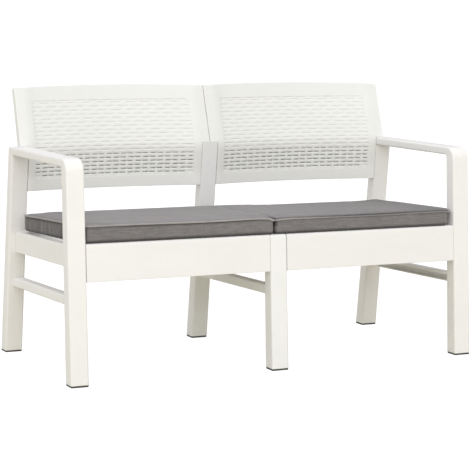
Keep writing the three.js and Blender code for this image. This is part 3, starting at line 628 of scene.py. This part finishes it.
def cushion(side, name, node, body, x_in, x_leg, outer, corners, sag, under_piping_shade, mat, seed):
    """Box cushion in its own frame: x across, a up the seat, c off the deck; mm."""
    L = (CUSHION_BACK - CUSHION_FRONT) / math.cos(THETA)
    T = CUSHION_T - 1.6
    step = 7.0
    rc = 23.0
    W = 545.0
    x_outer = outer[-1][1]
    tx = bounds_line([0, rc, W - rc, W], step)
    ta = bounds_line([0, rc, L - rc, L], step)
    gx, ga = np.meshgrid(tx, ta)
    # Corners in plan.
    px, pa = gx.copy(), ga.copy()
    for ex, sx in ((0, 1), (W, -1)):
        for ea, sa in ((0, 1), (L, -1)):
            r = corners[(0 if ex == 0 else 1) + (0 if ea == 0 else 2)]
            vx, va = r - (gx - ex) * sx, r - (ga - ea) * sa
            m_ = (vx > 0) & (va > 0)
            big, ln = np.maximum(vx, va), np.maximum(np.hypot(vx, va), 1e-9)
            f = np.where(m_, big / ln, 1.0)
            px = np.where(m_, ex + sx * (r - vx * f), px)
            pa = np.where(m_, ea + sa * (r - va * f), pa)
    # The outer side is wider behind the front leg.
    beside = np.interp(pa, [a for a, _ in outer], [b for _, b in outer])
    width = x_leg + (beside - x_leg) * smooth((pa - 51) / 20.0) - x_in
    px = x_in + px / W * width
    # The inner sides draw apart towards the front.
    px = px + 1.1 * smooth((110 - pa) / 110.0) * (1 - smooth((px - x_in) / 40.0))
    na, nx = gx.shape
    idx = np.arange(na * nx).reshape(na, nx)
    loop = list(idx[0, :]) + list(idx[1:, -1]) + list(idx[-1, -2::-1]) + list(idx[-2:0:-1, 0])
    loop = np.array(loop)
    top = np.stack([px.ravel(), pa.ravel(), np.full(px.size, T)], -1)
    bot = np.stack([px.ravel(), pa.ravel(), np.zeros(px.size)], -1)
    cen = np.array([(x_in + x_outer) / 2, L / 2])
    rim = top[loop][:, :2]
    nxt, prv = np.roll(rim, -1, 0), np.roll(rim, 1, 0)
    tan = nxt - prv
    nrm = np.stack([tan[:, 1], -tan[:, 0]], -1)
    nrm /= np.linalg.norm(nrm, axis=1)[:, None]
    heights = [1.0, 0.925, 0.80, 0.60, 0.40, 0.22, 0.09, 0.0]
    nb = len(heights) - 1
    band = []
    for i in range(1, nb):
        c = T * heights[i]
        ring = np.column_stack([rim, np.full(len(rim), c)])
        band.append(ring)
    verts = np.concatenate([top, bot] + band)
    nt = len(top)
    f_top = np.stack([idx[:-1, :-1], idx[:-1, 1:], idx[1:, 1:], idx[1:, :-1]], -1).reshape(-1, 4)
    f_bot = f_top[:, ::-1] + nt
    rings = [loop] + [np.arange(len(loop)) + 2 * nt + i * len(loop) for i in range(nb - 1)] + [loop + nt]
    f_band = []
    for r0, r1 in zip(rings, rings[1:]):
        f_band.append(np.stack([np.roll(r0, -1), r0, r1, np.roll(r1, -1)], -1))
    faces = np.concatenate([f_top, f_bot] + f_band)
    verts[:, 0] *= side
    if side < 0:
        faces = faces[:, ::-1]

    rest = verts.copy()
    nv = len(verts)
    # Distance of each vertex to the nearest sewn edge, and the way its panel faces.
    seam_pts = np.concatenate([verts[loop], verts[loop + nt]])
    normal = np.zeros((nv, 3))
    normal[:nt, 2] = 1
    normal[nt:2 * nt, 2] = -1
    for r in rings[1:-1]:
        normal[r, 0], normal[r, 1] = nrm[:, 0] * side, nrm[:, 1]
    from_rim = np.zeros(nv)
    kd = rim * np.array([side, 1])
    for k in range(0, nt, 4000):
        blk = verts[k:k + 4000, None, :2] if k + 4000 <= nt else verts[k:nt, None, :2]
        dd = np.sqrt(((blk - kd[None]) ** 2).sum(-1)).min(1)
        from_rim[k:k + len(dd)] = dd
    from_rim[nt:2 * nt] = from_rim[:nt]
    for i, r in enumerate(rings[1:-1], 1):
        from_rim[r] = min(1 - heights[i], heights[i]) * T

    o = new_object(name + "_sim", verts * MM, faces, [])
    vg = o.vertex_groups.new(name="seam")
    vg.add([int(i) for i in loop], 1.0, "REPLACE")
    vg.add([int(i) for i in loop + nt], 1.0, "REPLACE")
    cloth = o.modifiers.new("cloth", "CLOTH")
    cs = cloth.settings
    cs.quality = 6
    cs.mass = 0.3
    cs.tension_stiffness = cs.compression_stiffness = 18
    cs.shear_stiffness = 6
    cs.bending_stiffness = 0.6
    cs.use_pressure = True
    cs.uniform_pressure_force = 4.0
    cs.shrink_min = -0.012
    cs.vertex_group_mass = "seam"
    cs.effector_weights.gravity = 0
    cloth.collision_settings.use_collision = False
    cloth.point_cache.frame_start, cloth.point_cache.frame_end = 1, 20
    for f in range(1, 21):
        scene.frame_set(f)
    dg = bpy.context.evaluated_depsgraph_get()
    ev = o.evaluated_get(dg)
    out = np.zeros(nv * 3, np.float32)
    ev.data.vertices.foreach_get("co", out)
    sim = out.reshape(-1, 3) / MM
    bpy.data.objects.remove(o)
    scene.frame_set(1)
    moved = sim - rest
    print(name, "simulated: largest move", round(float(np.abs(moved).max()), 1), "mm; top", round(float(moved[:nt, 2].max()), 1))
    # How far each panel may stand out: foam holds the flats, the seams hold the edges.
    cap_top, cap_band = 4.2, 3.4
    cap = np.where(np.arange(nv) < 2 * nt, cap_top, cap_band)
    length = np.linalg.norm(moved, axis=1)
    keep = np.where(length > 1e-9, cap * np.tanh(length / cap) / np.maximum(length, 1e-9), 0)
    verts = rest + moved * keep[:, None]
    # Soft folds in the cover, and puckers along the front seam.
    rng = np.random.default_rng(seed)
    fold = np.zeros(nv)
    for _ in range(9):
        ang = rng.uniform(-0.35, 0.35)
        wl = rng.uniform(55, 150)
        ph = rng.uniform(0, 2 * math.pi)
        fold += np.sin((verts[:, 0] * math.sin(ang) + verts[:, 1] * math.cos(ang)) * 2 * math.pi / wl + ph + 1.3 * np.sin(verts[:, 0] / rng.uniform(60, 140) + ph))
    fold *= 0.16 * smooth(from_rim / 40)
    verts[:nt, 2] += fold[:nt]
    for r in rings[1:-1]:
        arc = np.arange(len(r)) * step
        wv = np.zeros(len(r))
        for _ in range(5):
            wv += np.sin(arc * 2 * math.pi / (step * len(r)) * round(step * len(r) / rng.uniform(38, 120)) + rng.uniform(0, 6.28))
        verts[r, :2] += (nrm * np.array([side, 1])) * (0.18 * wv)[:, None]
    # Old foam: it sags towards the back, and most at the outer corner.
    a_, x_ = verts[:, 1], verts[:, 0] * side
    up_share = np.clip(verts[:, 2] / T, 0, 1)
    corner_d = np.hypot(a_ - L, x_ - x_outer)
    hem = np.where(np.arange(nv) < nt, np.exp(-(from_rim / 10.0) ** 2), 1.0)
    verts[:, 2] -= up_share * hem * sag[0] * np.exp(-(corner_d / 100.0) ** 2)
    for cx, drop, wide, run in ((x_in, sag[4], 12.0 if side < 0 else 17.0, 4.0 if side < 0 else 1.0), (x_leg, sag[2], 19.0, 1.0)):
        verts[:, 2] -= up_share * drop * np.exp(-(np.hypot(a_ / run, x_ - cx) / wide) ** 2)
    mid, reach = (220, 130.0) if side < 0 else (290, 210.0)
    verts[:, 2] -= up_share * sag[3] * np.exp(-((x_ - mid) / reach) ** 2 - (a_ / 60.0) ** 2)
    verts[:, 2] += up_share * sag[6] * np.exp(-((x_ - 488) / 45.0) ** 2) * smooth((a_ - 300) / 100)
    verts[:, 2] += (1 - up_share) * sag[5] * np.exp(-(corner_d / 20.0) ** 2)
    verts[:, 2] -= up_share * sag[1] * smooth((a_ - 200) / 200) * smooth((x_ - 40) / 170) * smooth((x_outer - 10 - x_) / 90)
    # It lies on the deck, and keeps off its neighbour, the legs and the arm frame.
    verts[:, 2] = np.maximum(verts[:, 2], 0.0)
    near_x = x_in - 1.2
    verts[:, 0] = np.where(verts[:, 0] * side < near_x, near_x * side, verts[:, 0])
    lim = np.where(verts[:, 1] < 49, 549.0, x_outer + 3.2)
    verts[:, 0] = np.where(verts[:, 0] * side > lim, lim * side, verts[:, 0])
    # The cover turns in under the piping at the top and rolls in at the bottom.
    verts[rings[1], :2] -= (nrm * np.array([side, 1])) * 1.3
    verts[loop + nt, :2] -= (nrm * np.array([side, 1])) * 3.6
    verts[loop + nt, 2] += 1.7
    verts[rings[-2], :2] -= (nrm * np.array([side, 1])) * 0.6
    # Past the deck's edge the overhang hangs a little lower.
    for r in (loop + nt, rings[-2]):
        verts[r, 2] -= sag[7] * smooth((verts[r, 0] * side - 560.0) / 5.0)

    def world(v):
        c, s = math.cos(THETA), math.sin(THETA)
        z0 = RAIL_TOP + SEAT_SLOPE * CUSHION_FRONT + DECK_GAP + DECK_T + 0.5
        y = CUSHION_FRONT + v[:, 1] * c + v[:, 2] * s
        z = z0 - v[:, 1] * s + v[:, 2] * c
        return np.column_stack([v[:, 0], y + Y_SHIFT, z]) * MM

    o = new_object(name, world(verts), faces, [mat])
    sub = o.modifiers.new("subdivision", "SUBSURF")
    sub.levels = sub.render_levels = 1
    sub.boundary_smooth = "PRESERVE_CORNERS"
    painted_shade_at = o.data.attributes.new("fold", "FLOAT", "POINT")
    # Painted shade, kept in the fold attribute: along the top's seam, on the top under the arm at the outer side, in
    # the gap at the inner front, and a dark contact line along the bottom.
    dark = np.ones(nv)
    dark[:nt] = 1 - 0.16 * np.exp(-(from_rim[:nt] / 5.0) ** 2)
    dark[:nt] *= 1 - 0.16 * smooth((verts[:nt, 0] * side - x_outer + 45) / 30)
    dark[:nt] *= 1 - 0.42 * np.exp(-((x_[:nt] - x_in) / 6.0) ** 2) * smooth((130 - a_[:nt]) / 50)
    dark[rings[-2]] = 0.42
    dark[loop + nt] = 0.16
    xs, as_ = x_[loop], a_[loop]
    if side < 0:
        # Painted shadow under the piping, fading towards both ends of the front; painted shade on the top seam and
        # along the bottom.
        fold_painted_shadow = (0.3 + 0.7 * smooth((xs - x_in - 30) / 40.0)) * (0.25 + 0.75 * smooth((500 - xs) / 100.0))
        fold_painted_shadow = np.maximum(fold_painted_shadow, smooth((as_ - 12) / 25.0))
        dark[rings[1]] = 1 - (1 - under_piping_shade) * fold_painted_shadow
        dark[loop] = 0.70
        dark[rings[-2]] = np.where(as_ > 30, 0.14, 0.42)
    else:
        # Here the piping has rolled forwards; painted shadow lies in the fold above it and under it.
        front = np.exp(-(as_ / 14.0) ** 2) * (1 - smooth((xs - 390) / 70.0)) * (0.1 + 0.9 * smooth((xs - 30) / 260.0))
        dark[rings[1]] = under_piping_shade - 0.10 * front
        dark[:nt] *= 1 - 0.22 * np.exp(-(from_rim[:nt] / 7.0) ** 2) * np.exp(-(a_[:nt] / 20.0) ** 2) * (1 - smooth((x_[:nt] - 390) / 70.0)) * smooth((x_[:nt] - 30) / 260.0)
        dark[loop] = 0.98 - 0.45 * front
        # Painted shade: the top darkens towards the outer side.
        dark[:nt] *= 1 - 0.17 * smooth((x_[:nt] - 60) / 300.0) - 0.14 * smooth((x_[:nt] - 380) / 120.0)
        # Painted shade in the gap beside the neighbour and in the front corner by the leg.
        inside = (x_ < x_in + 4) & (a_ < 150) & (np.arange(nv) >= 2 * nt) & (up_share > 0.5)
        dark[inside] *= 0.5
        dark[(x_ > x_leg - 13) & (a_ < 45) & (np.arange(nv) >= 2 * nt)] *= 0.72
    painted_shade_at.data.foreach_set("value", dark.astype(np.float32))
    # The sewn edges stay tight.
    crease = o.data.attributes.new("crease_edge", "FLOAT", "EDGE")
    ring_set = {frozenset((int(p), int(q))) for p, q in zip(loop, np.roll(loop, -1))}
    ed = np.zeros(len(o.data.edges) * 2, np.int32)
    o.data.edges.foreach_get("vertices", ed)
    ed = ed.reshape(-1, 2)
    crease.data.foreach_set("value", np.array([0.85 if frozenset((int(p), int(q))) in ring_set else 0.0 for p, q in ed], np.float32))

    # Piping sewn into the upper seam.
    path = verts[loop].copy()
    out_by = 1.5 - 1.1 * np.exp(-(corner_d[loop] / 60.0) ** 2)
    path[:, :2] += (nrm * np.array([side, 1])) * out_by[:, None]
    path[:, 2] += 0.1
    front = np.exp(-(as_ / 14.0) ** 2)
    if side < 0:
        path[:, 2] -= 2.8 * front * np.exp(-((xs - x_in) / 36.0) ** 2)
        piping_painted_shade = np.ones(len(loop))
    else:
        inner = np.exp(-((xs - x_in) / 10.0) ** 2) * smooth((190 - as_) / 60.0)
        path[:, 2] -= 4.2 * np.maximum(front, 1.3 * inner)
        # Painted shade on the piping along the front.
        piping_painted_shade = 1 - 0.34 * front * smooth((xs - 20) / 180.0)
    pipe = tube(name + "_piping", path, 2.3 if side < 0 else 2.0, 10, world, PIPING, seed, piping_painted_shade)
    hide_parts(node)
    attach(o, body)
    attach(pipe, body)
    pipe.parent = o
    pipe.matrix_parent_inverse = Matrix.Identity(4)
    pipe.matrix_basis = Matrix.Identity(4)
    return o


def tube(name, path, radius, sides, world, mat, seed, shade):
    """Closed round cord along path, in the cushion's frame."""
    n = len(path) * 2
    # Closed smooth interpolation of the path.
    t = np.arange(n) / 2.0
    i0 = np.floor(t).astype(int)
    f = (t - i0)[:, None]
    m = len(path)
    p0, p1, p2, p3 = path[(i0 - 1) % m], path[i0 % m], path[(i0 + 1) % m], path[(i0 + 2) % m]
    c = 0.5 * ((2 * p1) + (-p0 + p2) * f + (2 * p0 - 5 * p1 + 4 * p2 - p3) * f ** 2 + (-p0 + 3 * p1 - 3 * p2 + p3) * f ** 3)
    rng = np.random.default_rng(seed + 5)
    tan = np.roll(c, -1, 0) - np.roll(c, 1, 0)
    tan /= np.linalg.norm(tan, axis=1)[:, None]
    up = np.tile([0.0, 0.0, 1.0], (n, 1))
    out = np.cross(tan, up)
    out /= np.linalg.norm(out, axis=1)[:, None]
    up = np.cross(out, tan)
    k = np.arange(n)
    wob = sum(np.sin(2 * math.pi * k * int(w) / n + p) for w, p in zip(rng.integers(8, 60, 6), rng.uniform(0, 6.28, 6))) * 0.06
    rad = radius * (1 + 0.05 * wob)
    verts = []
    for j in range(sides):
        a = 2 * math.pi * j / sides
        verts.append(c + (out * math.cos(a) + up * math.sin(a)) * rad[:, None] + up * wob[:, None] * 0.5)
    verts = np.stack(verts, 1).reshape(-1, 3)
    idx = np.arange(n * sides).reshape(n, sides)
    nx, ny = np.roll(idx, -1, 0), np.roll(idx, -1, 1)
    faces = np.stack([idx, ny, np.roll(nx, -1, 1), nx], -1).reshape(-1, 4)
    o = new_object(name, world(verts), faces, [mat])
    # The cord's painted shade goes into the fold attribute.
    tone = np.repeat(np.interp(np.arange(n) / 2.0, np.arange(m), shade), sides)
    o.data.attributes.new("fold", "FLOAT", "POINT").data.foreach_set("value", tone.astype(np.float32))
    return o


# ---------------------------------------------------------------- studio
def studio():
    w = bpy.data.worlds.new("studio")
    scene.world = w
    w.use_nodes = True
    t = Tree(w.node_tree)
    out = t.add("ShaderNodeOutputWorld")
    co = t.add("ShaderNodeTexCoord").outputs["Generated"]
    dot = t.add("ShaderNodeVectorMath", operation="DOT_PRODUCT")
    t.link(co, dot.inputs[0])
    dot.inputs[1].default_value = (-0.22, -0.242, 0.54)
    level = t.math("MAXIMUM", t.math("ADD", dot.outputs["Value"], 0.626), 0.05)
    sep = t.add("ShaderNodeSeparateXYZ")
    t.link(co, sep.inputs[0])
    tint = t.mix(t.remap(sep.outputs[2], -0.7, 0.25, 0.0, 1.0), (1.0, 0.95, 0.78), (1.0, 1.0, 1.02))
    sky = t.add("ShaderNodeBackground")
    t.link(tint, sky.inputs[0])
    t.link(level, sky.inputs[1])
    white = t.add("ShaderNodeBackground")
    white.inputs[0].default_value = (1, 1, 1, 1)
    white.inputs[1].default_value = 1.05
    path = t.add("ShaderNodeLightPath")
    mix = t.add("ShaderNodeMixShader")
    t.link(path.outputs["Is Camera Ray"], mix.inputs[0])
    t.link(sky.outputs[0], mix.inputs[1])
    t.link(white.outputs[0], mix.inputs[2])
    t.link(mix.outputs[0], out.inputs[0])

    def softbox(name, loc, target, size, watts):
        d = bpy.data.lights.new(name, "AREA")
        d.shape = "RECTANGLE"
        d.size, d.size_y = size
        d.energy = watts
        o = bpy.data.objects.new(name, d)
        scene.collection.objects.link(o)
        o.location = loc
        o.rotation_mode = "QUATERNION"
        o.rotation_quaternion = (Vector(target) - Vector(loc)).to_track_quat("-Z", "Y")
        o.visible_camera = False
        return o

    softbox("key", (-1.4, -4.6, 2.4), (0, 0, 0.4), (3.0, 2.2), 49.8)

    me = bpy.data.meshes.new("floor")
    me.from_pydata([(-14, -14, 0), (14, -14, 0), (14, 14, 0), (-14, 14, 0)], [], [(0, 1, 2, 3)])
    floor = bpy.data.objects.new("floor", me)
    scene.collection.objects.link(floor)
    m = bpy.data.materials.new("floor")
    m.use_nodes = True
    t = Tree(m.node_tree)
    out = t.add("ShaderNodeOutputMaterial")
    dif = t.add("ShaderNodeBsdfDiffuse")
    dif.inputs[0].default_value = (0.25, 0.25, 0.25, 1)
    emi = t.add("ShaderNodeEmission")
    emi.inputs[1].default_value = 0.92
    addn = t.add("ShaderNodeAddShader")
    t.link(dif.outputs[0], addn.inputs[0])
    t.link(emi.outputs[0], addn.inputs[1])
    bounce = t.add("ShaderNodeBsdfDiffuse")
    bounce.inputs[0].default_value = (0.705, 0.673, 0.545, 1)
    path = t.add("ShaderNodeLightPath")
    mix = t.add("ShaderNodeMixShader")
    t.link(path.outputs["Is Camera Ray"], mix.inputs[0])
    t.link(bounce.outputs[0], mix.inputs[1])
    t.link(addn.outputs[0], mix.inputs[2])
    t.link(mix.outputs[0], out.inputs[0])
    me.materials.append(m)
    floor.visible_glossy = False


make_camera()
studio()
panel(-1, "left_woven_backrest", "left_backrest")
panel(1, "right_woven_backrest", "right_backrest")
# Outer side of each cushion: [distance behind its front, |x|].
cushion(-1, "left_seat_cushion", "left_cushion", "cushion_left", 9.8, 547.0,
        [(70, 556), (149, 559), (228, 564), (300, 567), (393, 573), (434, 575)],
        (8, 9, 12, 26), (2.3, 0.0, 0.0, 2.0, 5.4, 5.0, 1.9, 1.8), 0.52, FABRIC, 11)
cushion(1, "right_seat_cushion", "right_cushion", "cushion_right", -6.0, 545.2,
        [(70, 545), (168, 542), (286, 543), (393, 549), (434, 560)],
        (9, 26, 12, 26), (3.0, 4.5, 4.0, 2.3, 2.4, 0.0, 0.0, 0.0), 0.72, FABRIC, 23)

scene.view_settings.view_transform = "Standard"
bpy.context.view_layer.update()
